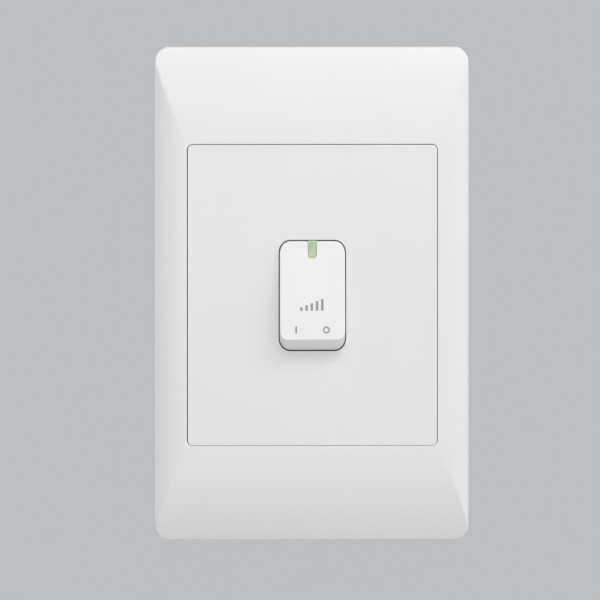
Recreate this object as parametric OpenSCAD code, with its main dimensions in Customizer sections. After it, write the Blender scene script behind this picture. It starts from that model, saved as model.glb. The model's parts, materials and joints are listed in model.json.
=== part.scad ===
// Wall-plate dimmer with a momentary push key, in a 100 x 50 mm wall box.
// X runs to the right, Z up, and -Y out of the wall, whose surface is y = 0.
// The origin is midway between the two box screws, on the wall's surface.
// All sizes are in millimetres.

/* [Clip-on frame] */
// Width of the frame
plate_w = 75; // [75:0.5:80]
// Height of the frame
plate_h = 118.2; // [118.2:0.1:122]
// Depth of the frame, from the wall to its flat front
plate_d = 9.5; // [9.5:0.05:9.8]
// Radius of the crown's arc along the sides, before it is flattened
side_crown_r = 8; // [8:0.1:9]
// Radius of the crown's arc at the top and bottom, before it is flattened
end_crown_r = 41.2; // [41:0.1:50]
// Share of the arcs' depth that the flattened crown keeps
crown_flat = 0.6; // [0.5:0.01:0.65]
// Radius of the four outer corners
plate_r = 3.35; // [3:0.05:4]
// Wall thickness of the moulding
frame_t = 2; // [1.8:0.1:2.2]

/* [Centre panel] */
// Width of the flat panel
panel_w = 59.7; // [59:0.1:60.3]
// Height of the flat panel
panel_h = 72; // [71:0.1:72.6]
// Corner radius of the panel
panel_r = 1.2; // [1:0.1:1.5]
// Gap between the panel and the frame
panel_gap = 0.2; // [0.15:0.05:0.3]

/* [Key] */
// Half of the key's width
key_half_w = 7.85; // [7.75:0.05:7.9]
// Distance from the pivot to the key's rounded ends
key_r = 14.45; // [14.35:0.05:14.5]
// Radius of the key's corners, seen from the front
key_corner = 2.5; // [2:0.1:3]
// Gap around the key in the panel
key_gap = 0.2; // [0.15:0.05:0.3]
// How far the pivot lies behind the panel's face
pivot_behind = 6.1; // [6:0.1:6.2]
// Angle of the key's face to the wall, with its lower end proud
face_tilt = 8.5; // [8:0.1:9]
// Distance from the pivot to the key's face
face_dist = 8.3; // [8.1:0.05:8.4]
// Angle through which the key is pressed
press_angle = 5; // [4:0.5:5]
// Wall thickness of the key
key_t = 1.5; // [1.3:0.1:1.6]
// Radius of the pivot pins
pivot_pin_r = 1.5; // [1.3:0.05:1.6]
// Width of the light window
lens_w = 2.15; // [1.8:0.05:2.5]
// Height of the light window
lens_h = 4.2; // [3.8:0.1:4.6]

/* [Yoke and screws] */
// Width of the steel yoke
yoke_w = 68; // [66:1:69]
// Height of the steel yoke
yoke_h = 108; // [106:1:110]
// Thickness of the yoke
yoke_t = 1.2; // [1:0.1:1.2]
// Distance between the two box screws
box_pitch = 83.5; // [83.5:0.1:84]
// Outer radius of the box screws' thread
box_screw_r = 1.75; // [1.7:0.05:1.8]
// How far the box screws reach into the wall box
box_screw_l = 16; // [12:1:25]

/* [Module] */
// Width of the case
case_w = 42; // [42:0.5:43]
// Height of the case
case_h = 64; // [64:0.5:65]
// Depth of the case behind the wall's surface
case_d = 27; // [27:0.5:30]
// Wall thickness of the case
case_t = 1.6; // [1.5:0.1:1.7]
// Depth behind the wall's surface at which the two case halves meet
case_split = 11; // [11:0.1:11.5]

/* [Terminals] */
// Distance between neighbouring terminals
terminal_pitch = 12; // [11.8:0.1:12.2]
// Radius of the wire entries
wire_r = 2; // [1.8:0.1:2.1]

/* [Hidden] */
$fn = 48;

// Extra length of a cutter past the face that it leaves
past = 1;

// Frame: the crown's flattened arcs start at the window's edge and end at the rim
window_w = panel_w + 2 * panel_gap;
window_h = panel_h + 2 * panel_gap;
crown_x = window_w / 2;
crown_z = window_h / 2;
crown_steps = 16;
side_run = plate_w / 2 - crown_x;
end_run = plate_h / 2 - crown_z;
window_r = panel_r + panel_gap;
collar_t = 1.2;
collar_back = -2.5;
arm_at = [22, 47.5];
arm_size = [8, 1.8];
arm_back = -0.3;
arm_slot = [9, 2.2];

// Panel: a shallow tray on four pegs
panel_t = 2;
panel_skirt_t = 1.5;
peg_at = [26, 31];
peg_r = 1.4;
peg_boss_r = 2.8;

// Yoke: its back stays clear of the wall, so that only the frame's rim touches it
yoke_back = -0.4;
yoke_front = yoke_back - yoke_t;
yoke_r = 4;
box_at = box_pitch / 2;
box_slot = [8, 4];
box_neck_r = 1.55;
box_head_r = 3.4;
box_head_t = 2.2;
thread_start = -0.2;
module_at = [16, 23];
module_screw_r = 1.4;
module_screw_tip = 7;
earth_at = [-13, 42];

// Key and its pivot
pivot_y = pivot_behind - plate_d;
key_back = pivot_y + 0.4;
ear_r = 2.4;
trunnion_end = 9.6;
lens_proud = 0.15;
lens_corner = 0.6;
lens_stem_w = 1.9;
lens_stem_back = -4.2;
post_z = -3.5;
post_r = 1.3;
post_tip = 3.25;
spring_z = -9;
spring_pin_r = 1.1;
spring_front = pivot_y - 4.6;
spring_r = 1.6;
spring_wire_r = 0.2;
spring_turns = 6;

// Well for the key, at the front of the case
case_front = yoke_back;
floor_t = 1.8;
floor_back = case_front + floor_t;
well_front = -(plate_d - panel_t - 0.3);
well_in = [key_half_w + key_gap, 15];
well_out = [9.8, 16.4];
well_opening = [10.2, 16.8];
ledge_z = 12.6;
ledge_half_w = 6;
rest_ledge_y = key_back + 0.05;
press_drop = (key_r * sin(press_angle)) - 0.4 * (1 - cos(press_angle));
press_ledge_y = key_back + press_drop + 0.05;
led_z = 11;
led_r = 1.5;

// Circuit board and the parts on it
board_front = 9;
board_t = 1.6;
board_back = board_front + board_t;
board_half = [19.2, 30];
case_screw_at = [[-17.6, 28.6], [17.6, 28.6], [-18, -13], [18, -13]];
case_screw_r = 1.1;
case_post_r = 2.8;
tact_half = 3;
tact_front = 5.2;
plunger_r = 1.7;
plunger_front = 3.3;
plunger_back = 6.8;
running_gap = 0.05;

// Terminals: a screw pulls the cage down, so that the wire is held on the contact bar
wire_z = -19.5;
cage_y = 19.5;
cage_half = [3.9, 3.85];
cage_top = -16.2;
cage_bottom = -24.4;
cage_wall = [1, 1.3];
bar_top = -21.6;
bar_t = 1;
bar_half_w = 2.2;
bar_end = 23.5;
term_screw_r = 1.75;
term_screw_tip = -22.9;
term_head_r = 3;
term_head = [-30.3, -28.5];
driver_hole_r = 2.6;

// Parts on the board
choke_at = [-9.5, 19];
choke_turns = 18;
choke_core_r = [4.2, 7.6];
choke_core_y = [12, 18];
choke_wire = 0.8;
triac_x = 9;
triac_top = 28.5;
triac_hole_y = 23.2;
fuse_at = [-5, 14.6, 4];
fuse_half_l = 10;
fuse_r = 2.5;

// ---------- Shapes that repeat ----------

// Box between two corners
module block(low, high) {
    translate(low) cube(high - low);
}

// Round bar along X, Y or Z, starting at the given place
module rod_x(r, x0, x1) {
    translate([x0, 0, 0]) rotate([0, 90, 0]) cylinder(r = r, h = x1 - x0);
}

module rod_y(r, y0, y1) {
    translate([0, y0, 0]) rotate([-90, 0, 0]) cylinder(r = r, h = y1 - y0);
}

module rod_z(r, z0, z1) {
    translate([0, 0, z0]) cylinder(r = r, h = z1 - z0);
}

// Outline in X and Z, made solid between two depths
module slab(y0, y1) {
    translate([0, y1, 0]) rotate([90, 0, 0]) linear_extrude(y1 - y0) children();
}

// Outline in Y and Z, made solid between two places along X
module across(x0, x1) {
    translate([x0, 0, 0]) rotate([90, 0, 90]) linear_extrude(x1 - x0) children();
}

module rounded_rect(w, h, r) {
    square([w - 2 * r, h], center = true);
    square([w, h - 2 * r], center = true);
    for (x = [-1, 1], z = [-1, 1])
        translate([x * (w / 2 - r), z * (h / 2 - r)]) circle(r);
}

module slot_outline(size) {
    square([size[0] - size[1], size[1]], center = true);
    for (x = [-1, 1]) translate([x * (size[0] - size[1]) / 2, 0]) circle(size[1] / 2);
}

// Copies its children to the four places mirrored about X and Z
module four(at) {
    for (x = [-1, 1], z = [-1, 1]) translate([x * at[0], 0, z * at[1]]) children();
}

// Cross recess in a screw head whose face is at y = 0 and looks along -Y
module cross_recess(reach, width, deep) {
    block([-reach, -past, -width / 2], [reach, deep, width / 2]);
    block([-width / 2, -past, -reach], [width / 2, deep, reach]);
}

// ---------- Clip-on frame and centre panel ----------

// Points of the crown's flattened arc, as [distance out from the panel, place along Y]
function crown_arc(run, r, inset) = [
    for (i = [0 : crown_steps])
        let (inner_r = r - inset,
             out = inner_r * sin(i / crown_steps * asin((run - inset + 0.05) / inner_r)))
        [out, inset - plate_d + crown_flat * (inner_r - sqrt(inner_r * inner_r - out * out))]
];

// Outline of all that lies in front of the arc, as [place out from the centre, place along Y]
function before_arc(start, arc) = concat(
    [[start, -20]],
    [for (p = arc) [start + p[0], p[1]]],
    [[start + 40, arc[len(arc) - 1][1]], [start + 40, -20]]
);

// Block with the crowned front, shrunk by inset on its outer faces
module crowned_block(inset, back) {
    side = before_arc(crown_x, crown_arc(side_run, side_crown_r, inset));
    end = before_arc(crown_z, crown_arc(end_run, end_crown_r, inset));
    difference() {
        slab(inset - plate_d, back)
            rounded_rect(plate_w - 2 * inset, plate_h - 2 * inset, max(plate_r - inset, 1.2));
        for (s = [0, 1]) {
            mirror([s, 0, 0])
                translate([0, 0, -plate_h]) linear_extrude(2 * plate_h) polygon(side);
            mirror([0, 0, s])
                across(-plate_w, plate_w) polygon([for (p = end) [p[1], p[0]]]);
        }
    }
}

module outer_frame() {
    color("whitesmoke")
        difference() {
            union() {
                difference() {
                    crowned_block(0, 0);
                    crowned_block(frame_t, past);
                }
                // Collar that steadies the frame around the panel
                slab(-(plate_d - 1), collar_back)
                    rounded_rect(window_w + 2 * collar_t, window_h + 2 * collar_t,
                                 window_r + collar_t);
                // Straight arms that push into the yoke's slots
                four(arm_at)
                    block([-arm_size[0] / 2, -(plate_d - frame_t), -arm_size[1] / 2],
                          [arm_size[0] / 2, arm_back, arm_size[1] / 2]);
            }
            slab(-plate_d - past, past) rounded_rect(window_w, window_h, window_r);
        }
}

module centre_panel() {
    color("white")
        difference() {
            union() {
                difference() {
                    slab(-plate_d, yoke_front) rounded_rect(panel_w, panel_h, panel_r);
                    slab(-plate_d + panel_t, yoke_front + past)
                        rounded_rect(panel_w - 2 * panel_skirt_t,
                                     panel_h - 2 * panel_skirt_t, 1);
                }
                four(peg_at) rod_y(peg_boss_r, -plate_d + panel_t - 0.5, yoke_front);
                four(peg_at) rod_y(peg_r, yoke_front - 0.5, yoke_back);
            }
            barrel(key_r + key_gap, key_half_w + key_gap, key_corner + key_gap);
        }
}

// ---------- Key ----------

// Solid of revolution about the pivot, with rounded shoulders
module barrel(r, half_w, corner) {
    translate([0, pivot_y, 0])
        rotate([0, 90, 0])
            rotate_extrude($fn = 96)
                union() {
                    translate([0, -half_w]) square([r - corner, 2 * half_w]);
                    translate([0, corner - half_w]) square([r, 2 * (half_w - corner)]);
                    for (s = [-1, 1])
                        translate([r - corner, s * (half_w - corner)]) circle(corner);
                }
}

// All that lies behind a face at the given distance from the pivot
module behind_face(dist, back) {
    intersection() {
        translate([0, pivot_y, 0])
            rotate([-face_tilt, 0, 0])
                block([-15, -dist, -30], [15, 30, 30]);
        block([-20, -30, -40], [20, back, 40]);
    }
}

// Outline of the light window, square to the key's face, down to a given depth
module window_prism(w, h, deep) {
    top = key_r + past;
    // Place of the window's lower end, from where the face meets the key's top
    low = sqrt(key_r * key_r - face_dist * face_dist) - h;
    translate([0, pivot_y, 0])
        rotate([-face_tilt, 0, 0])
            slab(-face_dist - past, -face_dist + deep)
                union() {
                    translate([-w / 2, low + lens_corner]) square([w, top - low]);
                    translate([lens_corner - w / 2, low]) square([w - 2 * lens_corner, 2 * lens_corner]);
                    for (side = [-1, 1])
                        translate([side * (w / 2 - lens_corner), low + lens_corner]) circle(lens_corner);
                }
}

module rocker() {
    color("white")
        difference() {
            union() {
                difference() {
                    intersection() {
                        barrel(key_r, key_half_w, key_corner);
                        behind_face(face_dist, key_back);
                    }
                    intersection() {
                        barrel(key_r - key_t, key_half_w - key_t, key_corner - key_t);
                        behind_face(face_dist - key_t, key_back + past);
                    }
                }
                // Ears and pivot pins
                for (s = [-1, 1])
                    translate([0, pivot_y, 0])
                        mirror([s < 0 ? 1 : 0, 0, 0]) {
                            rod_x(ear_r, key_half_w - key_t, key_half_w);
                            rod_x(pivot_pin_r, key_half_w - 0.5, trunnion_end);
                        }
                // Post that works the momentary contact
                translate([0, 0, post_z]) {
                    rod_y(post_r, pivot_y - face_dist + 0.4, post_tip - 0.75);
                    translate([0, post_tip - 0.75, 0])
                        rotate([-90, 0, 0]) cylinder(r1 = post_r, r2 = 0.5, h = 0.75);
                }
                // Boss and pin that hold the return spring
                translate([0, 0, spring_z]) {
                    rod_y(spring_r + spring_wire_r, pivot_y - face_dist + 0.4, spring_front);
                    rod_y(spring_pin_r, spring_front - 0.5, spring_front + 1.8);
                }
            }
            window_prism(lens_w, lens_h, key_t + past);
        }
}

module indicator_lens() {
    color("palegreen")
        union() {
            intersection() {
                window_prism(lens_w, lens_h, key_t + 0.5);
                barrel(key_r + lens_proud, key_half_w, key_corner);
                behind_face(face_dist, 0);
            }
            // Light pipe that reaches back towards the lamp
            block([-lens_stem_w / 2, pivot_y - face_dist + 2.6, led_z - 1.5],
                  [lens_stem_w / 2, lens_stem_back, led_z + 0.7]);
        }
}

module return_spring() {
    low = spring_front + spring_wire_r + 0.05;
    high = case_front - spring_wire_r - 0.05;
    steps = spring_turns * 13;
    sides = 8;
    points = [
        for (i = [0 : steps], k = [0 : sides - 1])
            let (turn = 360 * spring_turns * i / steps, ring = 360 * k / sides,
                 r = spring_r + spring_wire_r * cos(ring))
            [r * cos(turn), low + (high - low) * i / steps + spring_wire_r * sin(ring),
             spring_z + r * sin(turn)]
    ];
    walls = [
        for (i = [0 : steps - 1], k = [0 : sides - 1])
            let (a = i * sides + k, b = i * sides + (k + 1) % sides)
            [a, b, b + sides, a + sides]
    ];
    ends = [[for (k = [sides - 1 : -1 : 0]) k], [for (k = [0 : sides - 1]) steps * sides + k]];
    color("silver") polyhedron(points, concat(walls, ends));
}

// ---------- Yoke and its screws ----------

module yoke() {
    color("lightgray")
        difference() {
            slab(yoke_front, yoke_back) rounded_rect(yoke_w, yoke_h, yoke_r);
            slab(yoke_front - past, yoke_back + past) {
                rounded_rect(2 * well_opening[0], 2 * well_opening[1], 1);
                for (s = [-1, 1]) translate([0, s * box_at]) slot_outline(box_slot);
            }
            four(arm_at)
                block([-arm_slot[0] / 2, yoke_front - past, -arm_slot[1] / 2],
                      [arm_slot[0] / 2, yoke_back + past, arm_slot[1] / 2]);
            four(peg_at) rod_y(peg_r + 0.1, yoke_front - past, yoke_back + past);
            four(module_at) rod_y(module_screw_r + 0.2, yoke_front - past, yoke_back + past);
            translate([earth_at[0], 0, earth_at[1]])
                rod_y(box_screw_r + 0.02, yoke_front - past, yoke_back + past);
        }
}

module box_screws() {
    color("silver")
        for (s = [-1, 1])
            translate([0, 0, s * box_at])
                difference() {
                    union() {
                        rod_y(box_head_r, yoke_front - box_head_t, yoke_front);
                        rod_y(box_neck_r, yoke_front - 0.5, thread_start + 0.1);
                        rod_y(box_screw_r, thread_start, box_screw_l);
                    }
                    translate([0, yoke_front - box_head_t, 0]) cross_recess(2, 0.8, 1.3);
                }
}

module module_screws() {
    head = 1.8;
    color("silver")
        four(module_at)
            difference() {
                union() {
                    rod_y(2.6, yoke_front - head, yoke_front);
                    rod_y(module_screw_r, yoke_front - 0.5, module_screw_tip);
                }
                translate([0, yoke_front - head, 0]) cross_recess(1.6, 0.7, 1.1);
            }
}

module earth_screw() {
    washer_back = yoke_back + 0.8;
    color("gold")
        translate([earth_at[0], 0, earth_at[1]])
            difference() {
                union() {
                    rod_y(box_screw_r, yoke_front - 0.6, washer_back + 0.5);
                    rod_y(3, washer_back, washer_back + 2);
                }
                block([-4, washer_back + 1, -0.4], [4, washer_back + 3, 0.4]);
            }
}

module earth_washer() {
    color("gold")
        translate([earth_at[0], 0, earth_at[1]])
            difference() {
                rod_y(4, yoke_back, yoke_back + 0.8);
                rod_y(box_screw_r + 0.15, yoke_back - past, yoke_back + past);
            }
}

// ---------- Case ----------

module case_shell(y0, y1) {
    slab(y0, y1) rounded_rect(case_w, case_h, 2);
}

module case_room(y0, y1) {
    slab(y0, y1) rounded_rect(case_w - 2 * case_t, case_h - 2 * case_t, 1);
}

module front_housing() {
    color("gainsboro")
        difference() {
            union() {
                difference() {
                    case_shell(case_front, case_split);
                    case_room(floor_back, case_split + past);
                }
                // Well around the key
                difference() {
                    slab(well_front, case_front + 0.5)
                        rounded_rect(2 * well_out[0], 2 * well_out[1], 1.2);
                    slab(well_front - past, case_front)
                        rounded_rect(2 * well_in[0], 2 * well_in[1], 0.6);
                }
                // Stops at the key's two ends
                block([-ledge_half_w, rest_ledge_y, ledge_z],
                      [ledge_half_w, case_front + 0.5, well_in[1] + 0.5]);
                block([-ledge_half_w, press_ledge_y, -well_in[1] - 0.5],
                      [ledge_half_w, case_front + 0.5, -ledge_z]);
                // Pin for the return spring
                translate([0, 0, spring_z]) rod_y(spring_pin_r, -2.5, case_front + 0.5);
                // Screw bosses
                four(module_at) rod_y(3, floor_back - 0.5, module_screw_tip + 1);
                for (at = case_screw_at)
                    translate([at[0], 0, at[1]]) rod_y(case_post_r, floor_back - 0.5, case_split);
            }
            translate([0, pivot_y, 0]) {
                rod_x(pivot_pin_r + running_gap, well_in[0] - past, well_out[0] + past);
                rod_x(pivot_pin_r + running_gap, -well_out[0] - past, -well_in[0] + past);
            }
            translate([0, 0, post_z]) rod_y(post_r + 0.9, case_front - past, floor_back + past);
            translate([0, 0, led_z]) rod_y(led_r + 0.4, rest_ledge_y - past, floor_back + past);
            four(module_at)
                rod_y(module_screw_r + 0.02, case_front - past, module_screw_tip + 0.2);
            for (at = case_screw_at)
                translate([at[0], 0, at[1]]) rod_y(case_screw_r + 0.02, 3, case_split + past);
        }
}

module rear_cover() {
    room_back = case_d - case_t;
    room_bottom = case_t - case_h / 2;
    color("gainsboro")
        difference() {
            union() {
                difference() {
                    case_shell(case_split, case_d);
                    case_room(case_split - past, room_back);
                }
                // Walls between the terminals
                for (s = [-1, 1])
                    translate([s * terminal_pitch / 2, 0, 0])
                        block([-0.6, case_split + 1, room_bottom - 0.5],
                              [0.6, room_back + 0.5, -15]);
                // Ribs behind the contact bars
                for (i = [-1 : 1])
                    translate([i * terminal_pitch, 0, 0])
                        block([-1.5, bar_end, bar_top - bar_t], [1.5, room_back + 0.5, bar_top]);
                for (at = case_screw_at)
                    translate([at[0], 0, at[1]]) rod_y(case_post_r, case_split, room_back + 0.5);
            }
            for (i = [-1 : 1])
                translate([i * terminal_pitch, 0, 0]) {
                    translate([0, 0, wire_z]) rod_y(wire_r, room_back - 0.5, case_d + past);
                    translate([0, cage_y, 0])
                        rod_z(driver_hole_r, -case_h / 2 - past, room_bottom + 0.05);
                }
            for (at = case_screw_at)
                translate([at[0], 0, at[1]]) {
                    rod_y(case_screw_r + 0.15, case_split - past, case_d);
                    rod_y(2.3, room_back, case_d + past);
                }
        }
}

module case_screws() {
    head_front = case_d - case_t;
    color("silver")
        for (at = case_screw_at)
            translate([at[0], 0, at[1]])
                difference() {
                    union() {
                        rod_y(case_screw_r, 4, head_front + 0.5);
                        rod_y(2.1, head_front, case_d - 0.3);
                    }
                    translate([0, case_d - 0.3, 0]) mirror([0, 1, 0]) cross_recess(1.3, 0.5, 0.8);
                }
}

// ---------- Circuit board and its parts ----------

module circuit_board() {
    color("darkgreen")
        slab(board_front, board_back)
            difference() {
                rounded_rect(2 * board_half[0], 2 * board_half[1], 0.6);
                for (at = case_screw_at) translate(at) circle(case_post_r + 0.3);
            }
}

module tact_switch() {
    color("dimgray")
        difference() {
            union() {
                block([-tact_half, tact_front, post_z - tact_half],
                      [tact_half, board_front - 0.2, post_z + tact_half]);
                for (x = [-1, 1], z = [-1, 1])
                    translate([x * 3.2, 0, post_z + z * 2.25])
                        block([-0.6, board_front - 1, -0.35], [0.6, board_front, 0.35]);
            }
            translate([0, 0, post_z]) rod_y(plunger_r + running_gap, tact_front - past, 7.3);
        }
}

module tact_plunger() {
    color("black") translate([0, 0, post_z]) rod_y(plunger_r, plunger_front, plunger_back);
}

module led() {
    color("palegreen")
        translate([0, 0, led_z]) {
            rod_y(led_r, -0.9, 3.8);
            translate([0, -1.4, 0]) rotate([-90, 0, 0]) cylinder(r1 = 0.9, r2 = led_r, h = 0.5);
            rod_y(led_r + 0.3, 3, 3.8);
            for (x = [-1, 1]) translate([x * 0.9, 0, 0]) rod_y(0.25, 3.5, board_front);
        }
}

module control_chip() {
    color("black")
        translate([-7, 0, -8]) {
            block([-4, board_back + 0.2, -2], [4, board_back + 1.8, 2]);
            for (i = [-3 : 3], s = [-1, 1])
                translate([i * 1.27, 0, s * 2.4])
                    block([-0.2, board_back, -0.6], [0.2, board_back + 0.9, 0.6]);
        }
}

module choke_core() {
    color("darkslategray")
        translate([choke_at[0], 0, choke_at[1]])
            difference() {
                rod_y(choke_core_r[1], choke_core_y[0], choke_core_y[1]);
                rod_y(choke_core_r[0], choke_core_y[0] - past, choke_core_y[1] + past);
            }
}

module choke_winding() {
    color("chocolate")
        translate([choke_at[0], 0, choke_at[1]])
            for (i = [0 : choke_turns - 1])
                rotate([0, 360 * (i + 0.5) / choke_turns, 0])
                    difference() {
                        block([choke_core_r[0] - choke_wire, choke_core_y[0] - choke_wire,
                               -choke_wire / 2],
                              [choke_core_r[1] + choke_wire, choke_core_y[1] + choke_wire,
                               choke_wire / 2]);
                        block([choke_core_r[0] - 0.05, choke_core_y[0] - 0.02, -past],
                              [choke_core_r[1] + 0.05, choke_core_y[1] + 0.02, past]);
                    }
}

module film_capacitor() {
    color("goldenrod")
        translate([10, 0, 14]) {
            block([-6.5, board_back + 0.4, -3.5], [6.5, board_back + 12, 3.5]);
            for (x = [-1, 1]) translate([x * 5, 0, 0]) rod_y(0.4, board_back, board_back + 0.9);
        }
}

module triac() {
    color("black")
        difference() {
            translate([triac_x, 0, triac_top]) {
                block([-5, 12.5, -4.5], [5, 20.5, -1.2]);
                block([-5, 12.9, -1.3], [5, 25.2, 0]);
                for (i = [-1 : 1])
                    translate([i * 2.54, 0, -2.6])
                        block([-0.4, board_back, -0.25], [0.4, 13, 0.25]);
            }
            translate([triac_x, triac_hole_y, 0]) rod_z(1.6, triac_top - 3, triac_top + past);
        }
}

module heat_spreader() {
    color("silver")
        difference() {
            block([-8, 11.2, triac_top], [14, 25.2, triac_top + 1.5]);
            translate([triac_x, triac_hole_y, 0]) rod_z(1.52, triac_top - past, triac_top + 2.5);
        }
}

module triac_screw() {
    tab_bottom = triac_top - 1.3;
    color("silver")
        translate([triac_x, triac_hole_y, 0]) {
            rod_z(1.5, tab_bottom - 0.5, triac_top + 1.5);
            rod_z(2.1, tab_bottom - 1.8, tab_bottom);
        }
}

module fuse() {
    color("lightyellow") translate(fuse_at) rod_x(fuse_r, -fuse_half_l, fuse_half_l);
}

module fuse_clips() {
    color("silver")
        translate([fuse_at[0], 0, fuse_at[2]])
            for (s = [-1, 1])
                translate([s * 7.5, 0, 0])
                    difference() {
                        block([-2, board_back, -3.2], [2, fuse_at[1] + 1.2, 3.2]);
                        translate([0, fuse_at[1], 0]) rod_x(fuse_r + 0.02, -3, 3);
                    }
}

module varistor() {
    color("royalblue")
        translate([13, 0, 2.2]) {
            translate([0, board_back + 4.2, 0]) rod_z(3.6, -1.7, 1.7);
            for (x = [-1, 1])
                translate([x * 2, 0, 0]) rod_y(0.3, board_back, board_back + 2);
        }
}

module electrolytic_capacitor() {
    color("midnightblue")
        translate([10.4, 0, -8.8]) {
            rod_y(4, board_back + 0.3, board_back + 11);
            for (x = [-1, 1]) translate([x * 1.2, 0, 0]) rod_y(0.3, board_back, board_back + 0.8);
        }
}

// Part with a round body lying along X and a lead at each end
module axial_part(body_r, body_half_l, lead_half_l, high) {
    translate([0, high, 0]) rod_x(body_r, -body_half_l, body_half_l);
    translate([0, high, 0]) rod_x(0.25, -lead_half_l - 0.25, lead_half_l + 0.25);
    for (s = [-1, 1]) translate([s * lead_half_l, 0, 0]) rod_y(0.25, board_back, high);
}

module diodes() {
    color("dimgray")
        for (x = [-14.2, -5])
            translate([x, 0, -1.6]) axial_part(1.2, 2.2, 4.2, board_back + 1.3);
}

module resistors() {
    color("burlywood")
        for (i = [0 : 2])
            translate([i < 2 ? 2.6 : 13, 0, i == 0 ? 20 : i == 1 ? 24 : -3])
                axial_part(0.9, 1.6, 3, board_back + 1.05);
}

// ---------- Terminals ----------

module contact_bars() {
    color("gold")
        for (i = [-1 : 1])
            translate([i * terminal_pitch, 0, 0])
                block([-bar_half_w, board_back, bar_top - bar_t],
                      [bar_half_w, bar_end, bar_top]);
}

module terminal_cage(i) {
    color("silver")
        translate([i * terminal_pitch, cage_y, 0])
            difference() {
                block([-cage_half[0], -cage_half[1], cage_bottom],
                      [cage_half[0], cage_half[1], cage_top]);
                block([-cage_half[0] + cage_wall[0], -cage_half[1] - past,
                       cage_bottom + cage_wall[1]],
                      [cage_half[0] - cage_wall[0], cage_half[1] + past,
                       cage_top - cage_wall[1]]);
                rod_z(term_screw_r + running_gap, cage_bottom - past,
                      cage_bottom + cage_wall[1] + 0.5);
            }
}

module terminal_screw(i) {
    color("silver")
        translate([i * terminal_pitch, cage_y, 0])
            difference() {
                union() {
                    rod_z(term_head_r, term_head[0], term_head[1]);
                    rod_z(term_screw_r, term_head[1] - 0.5, term_screw_tip);
                }
                block([-4, -0.4, term_head[0] - past], [4, 0.4, term_head[0] + 1]);
            }
}

outer_frame();
centre_panel();
rocker();
indicator_lens();
yoke();
box_screws();
module_screws();
earth_screw();
earth_washer();
front_housing();
rear_cover();
case_screws();
circuit_board();
tact_switch();
tact_plunger();
led();
return_spring();
contact_bars();
terminal_cage(-1);  // terminal_cage_1
terminal_cage(0);  // terminal_cage_2
terminal_cage(1);  // terminal_cage_3
terminal_screw(-1);  // terminal_screw_1
terminal_screw(0);  // terminal_screw_2
terminal_screw(1);  // terminal_screw_3
choke_core();
choke_winding();
film_capacitor();
triac();
heat_spreader();
triac_screw();
fuse();
fuse_clips();
varistor();
electrolytic_capacitor();
control_chip();
diodes();
resistors();
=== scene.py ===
import json
import math

import bmesh
import bpy
from mathutils import Matrix, Vector

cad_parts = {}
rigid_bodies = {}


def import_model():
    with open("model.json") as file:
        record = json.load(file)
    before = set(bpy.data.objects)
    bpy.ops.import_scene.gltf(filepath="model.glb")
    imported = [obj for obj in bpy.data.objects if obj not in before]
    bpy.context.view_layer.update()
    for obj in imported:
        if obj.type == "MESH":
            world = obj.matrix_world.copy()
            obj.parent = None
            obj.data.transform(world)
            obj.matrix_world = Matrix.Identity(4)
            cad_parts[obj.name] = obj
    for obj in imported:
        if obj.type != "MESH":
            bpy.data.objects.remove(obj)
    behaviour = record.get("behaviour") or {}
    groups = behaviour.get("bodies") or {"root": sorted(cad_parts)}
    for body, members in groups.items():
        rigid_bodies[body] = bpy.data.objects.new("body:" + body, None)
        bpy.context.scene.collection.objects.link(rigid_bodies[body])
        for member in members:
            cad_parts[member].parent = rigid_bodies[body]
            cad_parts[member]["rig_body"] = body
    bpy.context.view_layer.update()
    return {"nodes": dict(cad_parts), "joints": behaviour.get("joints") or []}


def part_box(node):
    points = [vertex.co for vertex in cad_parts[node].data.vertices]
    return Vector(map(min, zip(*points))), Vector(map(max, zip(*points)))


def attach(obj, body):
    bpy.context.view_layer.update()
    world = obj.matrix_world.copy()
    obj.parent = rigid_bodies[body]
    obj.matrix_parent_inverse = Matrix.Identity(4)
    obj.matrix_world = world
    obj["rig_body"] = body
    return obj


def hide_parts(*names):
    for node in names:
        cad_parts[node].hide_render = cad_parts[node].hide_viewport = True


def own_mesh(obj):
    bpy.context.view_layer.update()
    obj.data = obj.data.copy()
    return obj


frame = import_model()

MM = 0.001  # the frame is in metres, and the shapes below are worked out in millimetres


def box_mm(node):
    low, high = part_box(node)
    return low / MM, high / MM


def joint_of(name):
    return next(j for j in frame["joints"] if j["name"] == name)


# ---------- Sizes in millimetres, from the frame wherever it holds them ----------

frame_low, frame_high = box_mm("outer_frame")
yoke_low, yoke_high = box_mm("yoke")
panel_high = box_mm("centre_panel")[1]
key_high = box_mm("rocker")[1]
pivot = Vector(joint_of("rocker_tilt")["pos_m"]) / MM

# Cover frame
FRONT = frame_low.y
FRAME_CORNER = 3.35
FRAME_WALL = 2.0
WINDOW_GAP = 0.2        # from the CAD panel to the frame's window
WINDOW_CORNER = 1.4
COLLAR_T = 1.2          # wall round the window, behind the face
COLLAR_BACK = -2.5
SIDE_CROWN_R = 8.0      # arcs of the side and end slopes
END_CROWN_R = 41.2
CROWN_FLAT = 0.6        # share of the arcs' depth that is kept
CREASE_SOFT = 0.13
RIM_FILLET = 0.22
RIM_CHAMFER = 0.15      # on both edges of the back rim
ARM_X, ARM_Z, ARM_END = 22, 47.5, -0.3
ARM_HALF_W, ARM_HALF_T = 4, 0.9
ARM_RIB_SHIFT, ARM_RIB_END = 1.6, -2.4
ARM_RIB_HALF_W, ARM_RIB_HALF_T = 0.6, 1
RIB_SPOTS = (-30, -11, 0, 11, 30)
RIB_START, RIB_LENGTH, RIB_HALF_T = 38.2, 18.4, 0.5
RIB_BACK = -4.4
RIB_SUNK = 0.8          # depth of the ribs' tops in the wall, from its face, as a share of it

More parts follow.
